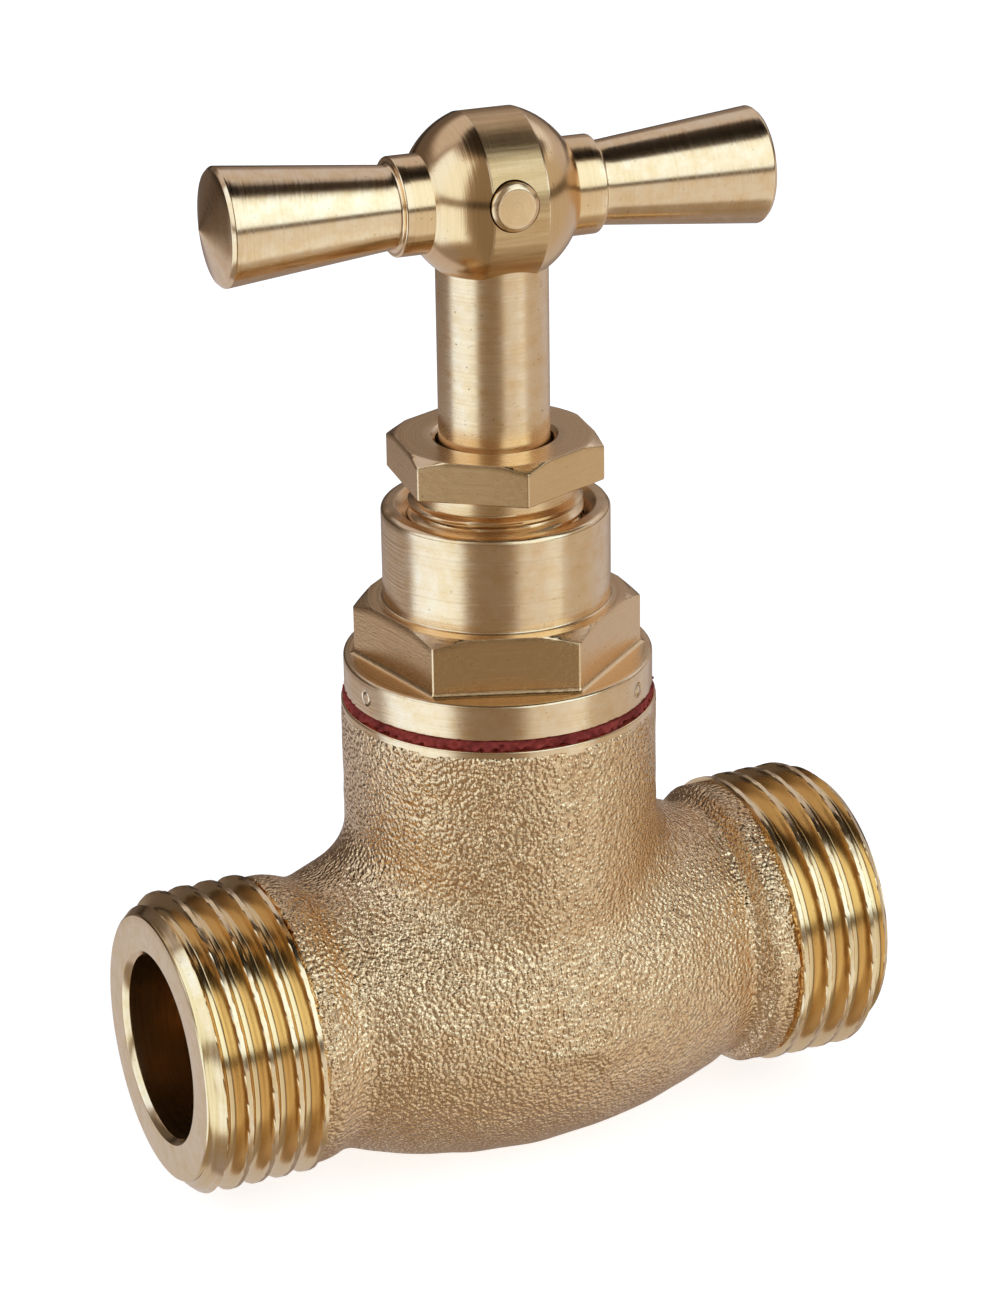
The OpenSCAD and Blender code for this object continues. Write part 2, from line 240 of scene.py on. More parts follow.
def netSurface(field, low, high, step):
    # Surface where field is 0: one point in each cell that it crosses, at the mean of the crossed
    # edges, and one face round each crossed edge; the points are then slid on to the surface.
    axes = [np.arange(a, b + step, step) for a, b in zip(low, high)]
    grid = np.stack(np.meshgrid(*axes, indexing="ij"), axis=-1)
    values = field(grid)
    inside = values < 0
    cells = np.array(values.shape) - 1
    total = np.zeros((*cells, 3))
    count = np.zeros(cells)
    crossings = []
    for axis in range(3):
        first = tuple(slice(0, -1) if k == axis else slice(1, -1) for k in range(3))
        second = tuple(slice(1, None) if k == axis else slice(1, -1) for k in range(3))
        i, j, k = np.nonzero(inside[first] != inside[second])
        index = np.stack([i, j, k], axis=1) + [0 if n == axis else 1 for n in range(3)]
        after = index + np.eye(3, dtype=int)[axis]
        fa, fb = values[tuple(index.T)], values[tuple(after.T)]
        share = (fa / (fa - fb))[:, None]
        spot = grid[tuple(index.T)] * (1 - share) + grid[tuple(after.T)] * share
        u, v = (axis + 1) % 3, (axis + 2) % 3
        around = []
        for du, dv in ((-1, -1), (0, -1), (0, 0), (-1, 0)):
            cell = index.copy()
            cell[:, u] += du
            cell[:, v] += dv
            np.add.at(total, tuple(cell.T), spot)
            np.add.at(count, tuple(cell.T), 1)
            around.append(cell)
        crossings.append((around, inside[tuple(index.T)]))
    number = np.full(cells, -1)
    used = count > 0
    number[used] = np.arange(used.sum())
    points = total[used] / count[used][:, None]
    faces = []
    for around, out in crossings:
        quad = np.stack([number[tuple(cell.T)] for cell in around], axis=1)
        faces.append(np.where(out[:, None], quad, quad[:, ::-1]))
    faces = np.concatenate(faces)
    ends = np.concatenate([faces[:, [a, b]] for a, b in ((0, 1), (1, 2), (2, 3), (3, 0))])
    weight = np.bincount(ends[:, 0], minlength=len(points))[:, None]
    for _ in range(3):
        around = np.zeros_like(points)
        np.add.at(around, ends[:, 0], points[ends[:, 1]])
        points = slideOn(field, 0.5 * points + 0.5 * around / weight, step)
    return points, faces


def slideOn(field, points, step, rounds=3):
    # Newton steps along the slope: p - f(p) g / |g|^2, none longer than half a cell.
    small = 0.02
    for _ in range(rounds):
        value = field(points)
        slope = np.stack([(field(points + d) - field(points - d)) / (2 * small)
                          for d in np.eye(3) * small], axis=1)
        move = (value / np.maximum((slope ** 2).sum(axis=1), 0.05))[:, None] * slope
        length = np.linalg.norm(move, axis=1, keepdims=True)
        points = points - move * np.minimum(1.0, 0.5 * step / np.maximum(length, 1e-9))
    return points


# materials

def put(tree, kind, values=None, **settings):
    # Adds a node; values holds its inputs by name or number, as constants or as sockets to join.
    made = tree.nodes.new("ShaderNode" + kind)
    for key, value in settings.items():
        setattr(made, key, value)
    for key, value in (values or {}).items():
        if isinstance(value, bpy.types.NodeSocket):
            tree.links.new(value, made.inputs[key])
        else:
            made.inputs[key].default_value = value
    return made


def sums(tree, operation, a, b=0.0, c=0.0):
    return put(tree, "Math", {0: a, 1: b, 2: c}, operation=operation).outputs[0]


def times(tree, a, b):
    return sums(tree, "MULTIPLY", a, b)


def plus(tree, a, b):
    return sums(tree, "ADD", a, b)


def remap(tree, value, low, high, toLow=0.0, toHigh=1.0):
    spread = {"Value": value, "From Min": low, "From Max": high, "To Min": toLow, "To Max": toHigh}
    return put(tree, "MapRange", spread).outputs["Result"]


def mixColour(tree, share, a, b, blend="MIX"):
    return put(tree, "Mix", {0: share, 6: a, 7: b}, data_type="RGBA", blend_type=blend).outputs[2]


def colour(red, green, blue):
    return (red, green, blue, 1.0)


def makeGroup(name, inputs, outputs, build):
    # A node group with named number or vector inputs; build returns its outputs in order.
    group = bpy.data.node_groups.new(name, "ShaderNodeTree")
    for label, value in inputs.items():
        kind = "NodeSocketVector" if value is None else "NodeSocketFloat"
        made = group.interface.new_socket(label, in_out="INPUT", socket_type=kind)
        if value is not None:
            made.default_value = value
    for label in outputs:
        group.interface.new_socket(label, in_out="OUTPUT", socket_type="NodeSocketFloat")
    entry = group.nodes.new("NodeGroupInput")
    leave = group.nodes.new("NodeGroupOutput")
    for label, socket in zip(outputs, build(group, entry.outputs)):
        group.links.new(socket, leave.inputs[label])
    return group


def noise(tree, vector, scale, detail=2.0, roughness=0.5, distortion=0.0):
    values = {"Vector": vector, "Scale": scale, "Detail": detail, "Roughness": roughness,
              "Distortion": distortion}
    return put(tree, "TexNoise", values).outputs["Fac"]


def buildLatheMarks(tree, given):
    # Noise read at (radius, height) only, so that it runs round Z as the tool did, with a little
    # slow noise in space so that no line keeps its strength all the way round.
    apart = put(tree, "SeparateXYZ", {0: given["Vector"]})
    square = sums(tree, "MULTIPLY_ADD", apart.outputs[0], apart.outputs[0],
                  times(tree, apart.outputs[1], apart.outputs[1]))
    radius = sums(tree, "SQRT", square)
    drift = times(tree, noise(tree, given["Vector"], 350.0, 1.0), 0.00004)
    place = put(tree, "CombineXYZ", {0: plus(tree, radius, drift),
                                     1: plus(tree, apart.outputs[2], drift)}).outputs[0]
    fine = noise(tree, place, given["Scale"], 3.0, 0.65)
    broad = noise(tree, place, times(tree, given["Scale"], 0.16), 2.0)
    patches = noise(tree, given["Vector"], 260.0, 1.0)
    strength = remap(tree, patches, 0.3, 0.7, 0.75, 1.1)
    broken = times(tree, sums(tree, "SUBTRACT", fine, 0.5), strength)
    height = plus(tree, times(tree, broken, given["Depth"]),
                  times(tree, broad, given["Wave"]))
    return height, fine, broad


def buildCastGrain(tree, given):
    # Fine noise less the distance to scattered points gives round grains; ground is slow and uneven.
    small = noise(tree, given["Vector"], given["Scale"], 2.0, 0.5)
    finer = times(tree, given["Scale"], 0.8)
    grains = put(tree, "TexVoronoi", {"Vector": given["Vector"], "Scale": finer, "Smoothness": 0.5},
                 feature="SMOOTH_F1").outputs["Distance"]
    ground = noise(tree, given["Vector"], times(tree, given["Scale"], 0.13), 3.0, 0.55)
    uneven = sums(tree, "MULTIPLY_ADD", ground, 0.6, times(tree, small, 0.55))
    height = sums(tree, "MULTIPLY_ADD", grains, -1.15, uneven)
    pits = remap(tree, small, 0.52, 0.34)
    return height, pits, ground


def buildHandling(tree, given):
    # Smudges are broad soft noise; specks are the far tail of fine noise; stain is between the two.
    place, scale = given["Vector"], given["Scale"]
    smudge = remap(tree, noise(tree, place, scale, 4.0, 0.55, 0.6), 0.38, 0.66)
    specks = remap(tree, noise(tree, place, times(tree, scale, 34.0), 1.0), 0.72, 0.8)
    stain = remap(tree, noise(tree, place, times(tree, scale, 3.1), 3.0), 0.52, 0.74)
    return smudge, specks, stain


def buildEdgeShine(tree, given):
    # The mesh's own edge mark, broken up by noise, so that a worn edge is bright in places only.
    mark = put(tree, "Attribute", attribute_name="edge").outputs["Fac"]
    breaks = remap(tree, noise(tree, given["Vector"], 900.0, 3.0, 0.6), 0.3, 0.62)
    return (times(tree, mark, breaks),)


latheMarks = makeGroup("latheMarks", {"Vector": None, "Scale": 9000.0, "Depth": 1.0, "Wave": 0.4},
                       ["Height", "Fine", "Broad"], buildLatheMarks)
castGrain = makeGroup("castGrain", {"Vector": None, "Scale": 2400.0}, ["Height", "Pits", "Ground"],
                      buildCastGrain)
handling = makeGroup("handling", {"Vector": None, "Scale": 120.0}, ["Smudge", "Specks", "Stain"],
                     buildHandling)
edgeShine = makeGroup("edgeShine", {"Vector": None}, ["Mask"], buildEdgeShine)


def useGroup(tree, group, values):
    return put(tree, "Group", values, node_tree=group).outputs


def startMaterial(name, turn=(0.0, 0.0, 0.0), centre=(0.0, 0.0, 0.0), lean=0.0):
    # A material with its shader and the object's own coordinates, turned by lean about the stem,
    # moved and turned again so that the piece's axis is Z.
    material = bpy.data.materials.new(name)
    material.use_nodes = True
    tree = material.node_tree
    tree.nodes.clear()
    shader = put(tree, "BsdfPrincipled")
    tree.links.new(shader.outputs[0], put(tree, "OutputMaterial").inputs[0])
    place = put(tree, "TexCoord").outputs["Object"]
    moved = put(tree, "Mapping", {"Vector": place, "Location": [-c * mm for c in centre],
                                  "Rotation": (0.0, 0.0, math.radians(lean))}).outputs[0]
    turned = put(tree, "Mapping", {"Vector": moved, "Rotation": [math.radians(a) for a in turn]}).outputs[0]
    return material, tree, shader, turned


def join(tree, socket, shader, name):
    tree.links.new(socket, shader.inputs[name])


brassTone = dict(clean=colour(0.89, 0.63, 0.355), deep=colour(0.74, 0.44, 0.18),
                 pale=colour(0.95, 0.75, 0.52), dark=colour(0.10, 0.055, 0.03))
turnedLook = dict(smudges=0.1, lines=0.22, worn=0.7, smudgeRough=0.02, depth=1.4e-5)


def turnedBrass(name, roughness=0.2, lineScale=4600.0, depth=1.0, bump=0.5, turn=(0.0, 0.0, 0.0),
                centre=(0.0, 0.0, 0.0), lean=0.0, specks=0.4, clean=brassTone["clean"],
                deep=brassTone["deep"], addMore=None, look=turnedLook):
    # Lathe-turned brass: fine lines round the axis, soft smudges, dark specks and paler worn edges.
    # addMore may join more nodes on top, given the tree, the shader and the turned coordinates.
    material, tree, shader, place = startMaterial(name, turn, centre, lean)
    lines = useGroup(tree, latheMarks, {"Vector": place, "Scale": lineScale, "Depth": depth})
    marks = useGroup(tree, handling, {"Vector": place})
    worn = useGroup(tree, edgeShine, {"Vector": place})["Mask"]
    base = mixColour(tree, times(tree, marks["Smudge"], look["smudges"]), clean, deep)
    inLines = remap(tree, lines["Fine"], 0.35, 0.7, 0.0, look["lines"])
    lined = mixColour(tree, inLines, base, brassTone["deep"])
    paler = mixColour(tree, times(tree, worn, look["worn"]), lined, brassTone["pale"])
    speckled = mixColour(tree, times(tree, marks["Specks"], specks), paler, brassTone["dark"])
    join(tree, speckled, shader, "Base Color")
    rough = plus(tree, remap(tree, lines["Fine"], 0.3, 0.7, roughness * 0.8, roughness * 1.3),
                 times(tree, marks["Smudge"], look["smudgeRough"]))
    join(tree, rough, shader, "Roughness")
    shader.inputs["Metallic"].default_value = 1.0
    height = put(tree, "Bump", {"Height": lines["Height"], "Strength": bump, "Distance": look["depth"]})
    join(tree, height.outputs[0], shader, "Normal")
    if addMore:
        addMore(tree, shader, place)
    return material


def joined(shader, name):
    # What already feeds one of the shader's inputs.
    return shader.inputs[name].links[0].from_socket


castLook = dict(scale=4300.0, marks=60.0, dull=colour(0.92, 0.62, 0.345), bright=colour(1.0, 0.74, 0.45),
                pit=colour(0.42, 0.25, 0.13), pits=0.42, stain=colour(0.50, 0.32, 0.19), stains=0.12,
                specks=0.5, smooth=0.2, rough=0.42, bareShine=0.16, bareGrain=0.1, depth=1.3e-4)


def castBrass(name, look):
    # Blasted sand casting: bright grains on a slightly duller ground, bare metal where it was cut.
    material, tree, shader, place = startMaterial(name)
    grain = useGroup(tree, castGrain, {"Vector": place, "Scale": look["scale"]})
    marks = useGroup(tree, handling, {"Vector": place, "Scale": look["marks"]})
    bare = put(tree, "Attribute", attribute_name="bare").outputs["Fac"]
    tone = mixColour(tree, remap(tree, grain["Ground"], 0.3, 0.7), look["dull"], look["bright"])
    for mark, share, darker in ((grain["Pits"], look["pits"], look["pit"]),
                                (marks["Stain"], look["stains"], look["stain"]),
                                (marks["Specks"], look["specks"], brassTone["dark"])):
        tone = mixColour(tree, times(tree, mark, share), tone, darker)
    join(tree, mixColour(tree, bare, tone, brassTone["clean"]), shader, "Base Color")
    rough = remap(tree, grain["Pits"], 0.0, 1.0, look["smooth"], look["rough"])
    join(tree, sums(tree, "MULTIPLY_ADD", bare, -look["bareShine"], rough), shader, "Roughness")
    shader.inputs["Metallic"].default_value = 1.0
    kept = remap(tree, bare, 0.0, 1.0, 1.0, look["bareGrain"])
    height = times(tree, grain["Height"], kept)
    bump = put(tree, "Bump", {"Height": height, "Strength": 1.0, "Distance": look["depth"]})
    join(tree, bump.outputs[0], shader, "Normal")
    return material


def fibreSheet(name, light, dark):
    # Pressed fibre: matt, with short fibres in two directions and a rough cut edge.
    material, tree, shader, place = startMaterial(name)
    apart = put(tree, "Mapping", {"Vector": place, "Scale": (1.0, 1.0, 4.0)}).outputs[0]
    fibres = noise(tree, apart, 3200.0, 4.0, 0.7, 1.5)
    patches = noise(tree, place, 500.0, 3.0)
    shade = sums(tree, "MULTIPLY_ADD", patches, 0.5, times(tree, fibres, 0.6))
    join(tree, mixColour(tree, remap(tree, shade, 0.35, 0.75), dark, light), shader, "Base Color")
    join(tree, remap(tree, fibres, 0.3, 0.7, 0.75, 0.95), shader, "Roughness")
    shader.inputs["Specular IOR Level"].default_value = 0.25
    bump = put(tree, "Bump", {"Height": fibres, "Strength": 0.8, "Distance": 4e-5})
    join(tree, bump.outputs[0], shader, "Normal")
    return material


castSkin = castBrass("castSkin", castLook)
nutBrass = turnedBrass("nutBrass", roughness=0.24, bump=0.6, lineScale=4200.0)
stemBrass = turnedBrass("stemBrass", roughness=0.25, bump=0.1, lineScale=6500.0, specks=1.0)
innerBrass = turnedBrass("innerBrass", roughness=0.3)
redFibre = fibreSheet("redFibre", colour(0.42, 0.06, 0.045), colour(0.08, 0.009, 0.007))
packingFibre = fibreSheet("packingFibre", colour(0.75, 0.72, 0.64), colour(0.5, 0.47, 0.4))
blackRubber = fibreSheet("blackRubber", colour(0.035, 0.035, 0.035), colour(0.015, 0.015, 0.015))
springSteel = turnedBrass("springSteel", roughness=0.3, clean=colour(0.56, 0.56, 0.57),
                          deep=colour(0.4, 0.4, 0.41))
print("materials ready")


# cast body

bodySize = dict(bellyR=12.25, arcR=38.0, wall=2.4, collarR=10.15, collarStep=1.5, collarX=16.9,
                inletWaistX=12.0, outletWaistX=15.0, leftEnd=17.8, rightEnd=18.4, endRound=0.12,
                endRagged=0.09, neckR=10.8, neckLow=-1.0, neckTop=21.1, filletFront=0.9, filletSide=2.8,
                chamberR=8.4, chamberX=15.4, portR=6.6, portX=14.0, boreR=9.1, boreLow=15.0, innerRound=0.6,
                seatR=5.0, seatZ=2.2, crownR=6.8, plateLow=-1.3, plateTop=1.2, weirIn=8.6, weirOut=10.6,
                toolX=17.35, toolWidth=0.13, toolDepth=0.16, bareWidth=0.16, grid=0.36, swell=0.05)
arrowMark = dict(x=1.3, along=-0.9, length=6.6, shaft=1.1, head=2.6, width=4.2, height=0.22, radius=12.0)


def bellyRadius(x, size):
    # Barrel arc out to the waist, rounded into the collar that carries each thread, gently at the inlet.
    waist = np.where(x < 0.0, size["inletWaistX"], size["outletWaistX"])
    x = np.abs(x)
    arc = size["bellyR"] - size["arcR"] + np.sqrt(size["arcR"] ** 2 - np.minimum(x, 30.0) ** 2)
    collar = size["collarR"] - size["collarStep"] * (1.0 - smoothStep(waist, size["collarX"], x))
    return smoothMax(arc, collar, 0.8)


def toolMark(x, y, z, width, size):
    # Where a tool grazed the casting beside the outlet's thread: 1 on a line low on its front side.
    return np.exp(-((x - size["toolX"]) / width) ** 2) * smoothStep(1.5, -3.5, z + 0.4 * y)


def arrowHeight(points, mark):
    # Raised flow arrow on the belly: shaft and head drawn in (x, arc length round the belly).
    x = points[..., 0] - mark["x"]
    arc = np.arctan2(-points[..., 2], -points[..., 1]) * mark["radius"] + mark["along"]
    half = mark["length"] / 2.0
    neck = half - mark["head"]
    shaft = np.maximum(np.abs(arc) - mark["shaft"] / 2.0, np.maximum(-half - x, x - neck - 0.4))
    slope = mark["width"] / 2.0 / mark["head"]
    head = np.maximum((np.abs(arc) - (half - x) * slope) / math.hypot(1.0, slope), neck - x)
    return mark["height"] * (1.0 - smoothStep(-0.25, 0.35, np.minimum(shaft, head)))


def bodyField(points, size=bodySize):
    # Distance-like value, negative in the metal: belly and neck rounded into each other, less the
    # chambers, the ports and the neck's bore, with the weir and the seat's crown left standing.
    x, y, z = points[..., 0], points[..., 1], points[..., 2]
    fromFlow, fromStem = np.hypot(y, z), np.hypot(x, y)
    inner = size["innerRound"]
    rough = size["swell"] * (waveNoise(points, 5.0, 3) + 0.5 * waveNoise(points, 2.2, 4))
    sideways = x * x / np.maximum(x * x + y * y, 1e-6)
    fillet = size["filletFront"] + (size["filletSide"] - size["filletFront"]) * sideways
    belly = fromFlow - bellyRadius(x, size) + size["toolDepth"] * toolMark(x, y, z, size["toolWidth"], size)
    belly = belly - arrowHeight(points, arrowMark) * (y < 0)
    neck = np.maximum(fromStem - size["neckR"], size["neckLow"] - z)
    outside = smoothMin(belly, neck, fillet) + rough
    ragged = size["endRagged"] * waveNoise(points * [0.3, 1.0, 1.0], 1.6, 7)
    for beyond in (x - size["rightEnd"] + ragged, -x - size["leftEnd"] + ragged, z - size["neckTop"]):
        outside = smoothMax(outside, beyond, size["endRound"])
    chamber = np.maximum(fromFlow - bellyRadius(x, size) + size["wall"], np.abs(x) - size["chamberX"])
    plate = np.maximum(np.abs(x) - size["weirOut"], np.maximum(size["plateLow"] - z, z - size["plateTop"]))
    midWeir = (size["weirIn"] + size["weirOut"]) / 2.0
    halfWeir = (size["weirOut"] - size["weirIn"]) / 2.0
    leftWeir = np.maximum(np.abs(x + midWeir) - halfWeir, size["plateLow"] - z)
    rightWeir = np.maximum(np.abs(x - midWeir) - halfWeir, z - size["plateTop"])
    weir = smoothMin(smoothMin(plate, leftWeir, inner), rightWeir, inner)
    chamber = smoothMax(chamber, -weir, inner)
    upper = smoothMax(fromStem - size["chamberR"], size["plateTop"] - z, inner)
    bore = np.maximum(fromStem - size["boreR"], size["boreLow"] - z)
    port = np.maximum(fromFlow - size["portR"], size["portX"] - np.abs(x))
    hollow = smoothMin(smoothMin(chamber, upper, inner), smoothMin(port, bore, 0.3), 0.5)
    crown = smoothMax(fromStem - size["crownR"] + 0.25 * (z - size["plateTop"]),
                      np.maximum(z - size["seatZ"], size["plateLow"] - z), 0.3)
    metal = np.minimum(smoothMax(outside, -hollow, 0.25), crown)
    seatHole = np.where(np.abs(z) < 4.0, size["seatR"] - fromStem, -10.0)
    return smoothMax(metal, seatHole, 0.2)


def makeCastBody(size):
    # The net's box is a little wider than the casting; cut ends and the tool's mark are bare metal.
    low = (-size["leftEnd"] - 0.5, -size["bellyR"] - 0.8, -size["bellyR"] - 0.8)
    high = (size["rightEnd"] + 0.5, size["bellyR"] + 0.8, size["neckTop"] + 0.5)
    points, faces = netSurface(bodyField, low, high, size["grid"])
    x, y, z = points.T
    ends = (x > size["rightEnd"] - 0.12) | (x < -size["leftEnd"] + 0.12) | (z > size["neckTop"] - 0.1)
    tool = toolMark(x, y, z, size["bareWidth"], size) * (np.hypot(y, z) > 8.0)
    bare = np.clip(ends + tool, 0.0, 1.0)
    body = placeMesh("castBody", points, faces.tolist(), castSkin, sharpAngle=60.0, bare=bare)
    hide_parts("valve_body")
    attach(body, "root")


makeCastBody(bodySize)


# threaded ends

threadSize = dict(face=26.0, faceR=9.16, crestR=10.47, rootR=9.32, pitch=1.814, boreR=6.4,
                  boreChamfer=0.38, sleeveX=15.2, sleeveR=6.9, crestFlat=0.16, rootPower=1.9, columns=320,
                  rowStep=0.06, leftTop=-23.8, rightTop=23.75, overlap=0.35, chamferSlope=0.92, wear=0.011)
# Painted shade for the inside of the bore: its radius, the soft border, how much darker, and the shade's
# tone.
boreShade = dict(radius=6.62, border=0.08, share=0.12, tone=colour(0.34, 0.19, 0.08))


def addBoreShade(tree, shader, place, size=boreShade):
    # Painted shade in the bore: a darker tone wherever the distance to the axis is less than its radius.
    flat = put(tree, "VectorMath", {0: place, 1: (1.0, 1.0, 0.0)}, operation="MULTIPLY").outputs[0]
    away = put(tree, "VectorMath", {0: flat}, operation="LENGTH").outputs["Value"]
    outer = (size["radius"] + size["border"]) * mm
    inside = remap(tree, away, outer, size["radius"] * mm, 0.0, size["share"])
    join(tree, mixColour(tree, inside, joined(shader, "Base Color"), size["tone"]), shader, "Base Color")


threadBrass = turnedBrass("threadBrass", roughness=0.16, lineScale=5000.0, turn=(0.0, 90.0, 0.0),
                          clean=colour(0.88, 0.66, 0.36), deep=colour(0.80, 0.52, 0.20), addMore=addBoreShade)


def makeThreadedEnd(name, side, size):
    # Rows run from the sleeve inside the casting, out along the bore, over the face and back along
    # the thread; the thread's radius is root plus depth times ridge((x - crest line) / pitch).
    end = bodySize["rightEnd"] if side > 0 else bodySize["leftEnd"]
    inner = end - size["overlap"]
    cap = roundedOutline([
        [size["sleeveR"], inner, 0], [size["sleeveR"], size["sleeveX"], 0.15],
        [size["boreR"], size["sleeveX"], 0.15], [size["boreR"], size["face"] - size["boreChamfer"], 0.05],
        [size["boreR"] + size["boreChamfer"], size["face"], 0.06], [size["faceR"], size["face"], 0.08],
        [size["faceR"] + 0.12, size["face"] - 0.08, 0]])
    cap = finePoints(cap, 0.6)
    along = np.arange(size["face"] - 0.12, inner, -size["rowStep"])
    rows = np.concatenate([cap[:, 1], along, [inner]])
    radii = np.concatenate([cap[:, 0], np.zeros(len(along) + 1)])
    marks = np.concatenate([cap[:, 2], np.zeros(len(along) + 1)])
    angle = np.linspace(0.0, 2.0 * np.pi, size["columns"], endpoint=False)
    x = side * rows[:, None] + 0.0 * angle
    topX = size["rightTop"] if side > 0 else size["leftTop"]
    turns = (x - topX) / size["pitch"] - (angle - np.pi / 2.0) / (2.0 * np.pi)
    form = ridge(turns, size["crestFlat"], size["rootPower"])
    lip = np.exp(-((form - 0.97) / 0.05) ** 2) * 0.01
    radius = size["rootR"] + (size["crestR"] - size["rootR"] - 0.02) * form + lip
    chamfer = size["faceR"] + (size["face"] - np.abs(x)) * size["chamferSlope"]
    cut = smoothMin(radius, chamfer, 0.1)
    around = np.stack([x, np.cos(angle) * 9.0 + 0.0 * x, np.sin(angle) * 9.0 + 0.0 * x], axis=2)
    cut = cut + size["wear"] * waveNoise(around, 1.3, 11) * smoothStep(0.55, 1.0, form)
    isThread = (np.arange(len(rows)) >= len(cap))[:, None]
    r = np.where(isThread, cut, radii[:, None] + 0.0 * angle)
    edge = np.where(isThread, smoothStep(0.8, 1.0, form), marks[:, None])
    points = np.stack([x, r * np.cos(angle), r * np.sin(angle)], axis=2)
    piece = ringPiece(name, points, edge, threadBrass)
    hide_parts("valve_body")
    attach(piece, "root")


makeThreadedEnd("inletThread", -1, threadSize)
makeThreadedEnd("outletThread", 1, threadSize)


# neck rim and gasket

punchSize = dict(spots=[((-10.45, -1.43, 23.35), 0.42), ((6.5, -8.31, 23.25), 0.4)], width=0.16, depth=9e-5)


def addPunches(tree, shader, place, size=punchSize):
    # Small stamped rings: a round groove at its radius about each spot.
    height = 0.0
    for spot, radius in size["spots"]:
        apart = put(tree, "VectorMath", {0: place, 1: [c * mm for c in spot]}, operation="DISTANCE")
        ring = sums(tree, "ABSOLUTE", sums(tree, "SUBTRACT", apart.outputs["Value"], radius * mm))
        height = plus(tree, remap(tree, ring, 0.0, size["width"] * mm), height)
    bump = put(tree, "Bump", {"Height": height, "Normal": joined(shader, "Normal"), "Strength": 0.9,
                              "Distance": size["depth"]})
    join(tree, bump.outputs[0], shader, "Normal")


bonnetBrass = turnedBrass("bonnetBrass", roughness=0.21, bump=1.0, lineScale=5200.0, depth=1.7,
                          addMore=addPunches)
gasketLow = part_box("bonnet_gasket")[0][2] / mm
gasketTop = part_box("bonnet_gasket")[1][2] / mm
rimSize = dict(low=20.6, outerR=10.78, innerR=9.05, rounding=0.12)
gasketSize = dict(innerR=9.3, outerR=10.66, ragged=0.26, columns=640)


def makeNeckRim(size):
    # Machined ring on top of the neck: a plain rounded section carried round the stem axis.
    outline = roundedOutline([
        [size["innerR"], gasketLow - 0.3, 0], [size["innerR"], size["low"], 0.05],
        [size["outerR"], size["low"], 0.1], [size["outerR"], gasketLow, size["rounding"]],
        [size["innerR"], gasketLow, 0.1], [size["innerR"], gasketLow - 0.25, 0]])
    points, edge = turnedGrid(outline, 200)
    piece = ringPiece("neckRim", points, edge, bonnetBrass)
    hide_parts("valve_body")
    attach(piece, "root")


def makeGasket(size):
    # Flat ring whose outer edge wanders: radius plus ragged noise, more at the middle of its edge.
    outline = roundedOutline([
        [size["innerR"], gasketLow + 0.3, 0], [size["innerR"], gasketLow, 0.08],
        [size["outerR"], gasketLow, 0.12], [size["outerR"] + 0.03, (gasketLow + gasketTop) / 2.0, 0.1],
        [size["outerR"], gasketTop, 0.12], [size["innerR"], gasketTop, 0.08],
        [size["innerR"], gasketLow + 0.35, 0]])
    points, edge = turnedGrid(finePoints(outline, 0.12), size["columns"])
    radius = np.hypot(points[..., 0], points[..., 1])
    wander = size["ragged"] * (waveNoise(points, 0.55, 21) + 0.5 * waveNoise(points, 3.0, 22) - 0.55)
    outer = smoothStep(size["outerR"] - 0.4, size["outerR"], radius)
    grown = np.minimum(radius + wander * outer, size["outerR"] + 0.02) / radius
    points[..., :2] *= grown[..., None]
    piece = ringPiece("fibreGasket", points, edge, redFibre, sharpAngle=60.0)
    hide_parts("bonnet_gasket")
    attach(piece, "root")


makeNeckRim(rimSize)
makeGasket(gasketSize)


# hexagons

def hexAngles(acrossFlats, rounding, turn, perFlat=22, perCorner=6):
    # Angles round a hexagon with one corner towards turn, close together at its rounded corners.
    apothem = acrossFlats / 2.0
    flatEnd = math.atan((apothem - rounding) * math.tan(math.pi / 6.0) / apothem)
    flat = np.linspace(-flatEnd, flatEnd, perFlat)
    guard = 0.004
    flat = np.concatenate([[-flatEnd, -flatEnd + guard], flat[1:-1], [flatEnd - guard]])
    corner = np.linspace(flatEnd, math.pi / 3.0 - flatEnd, perCorner, endpoint=False)
    sextant = np.concatenate([flat, corner])
    atCorner = np.concatenate([np.zeros(len(flat)), np.ones(perCorner)])
    angles = np.concatenate([sextant + k * math.pi / 3.0 for k in range(6)]) + math.radians(turn + 30.0)
    return angles, np.tile(atCorner, 6)


def hexRadius(angles, acrossFlats, rounding, turn):
    # Distance from the axis to a hexagon with rounded corners: apothem / cos on the flats, and a
    # circle of the rounding's radius at each corner.
    apothem = acrossFlats / 2.0
    sixth = math.pi / 3.0
    off = np.abs((angles - math.radians(turn)) % sixth - sixth / 2.0)
    onFlat = apothem / np.cos(off)
    centre = (apothem - rounding) / math.cos(sixth / 2.0)
    gap = sixth / 2.0 - off
    onCorner = centre * np.cos(gap) + np.sqrt(np.maximum(rounding ** 2 - (centre * np.sin(gap)) ** 2, 0.0))
    flatEnd = math.atan((apothem - rounding) * math.tan(sixth / 2.0) / apothem)
    return np.where(off <= flatEnd, onFlat, onCorner)


def roundRows(outline, angles):
    # Outline points as rows of [radius, height, edge] that are the same at every angle.
    return [tuple(np.full_like(angles, value) for value in point) for point in outline]


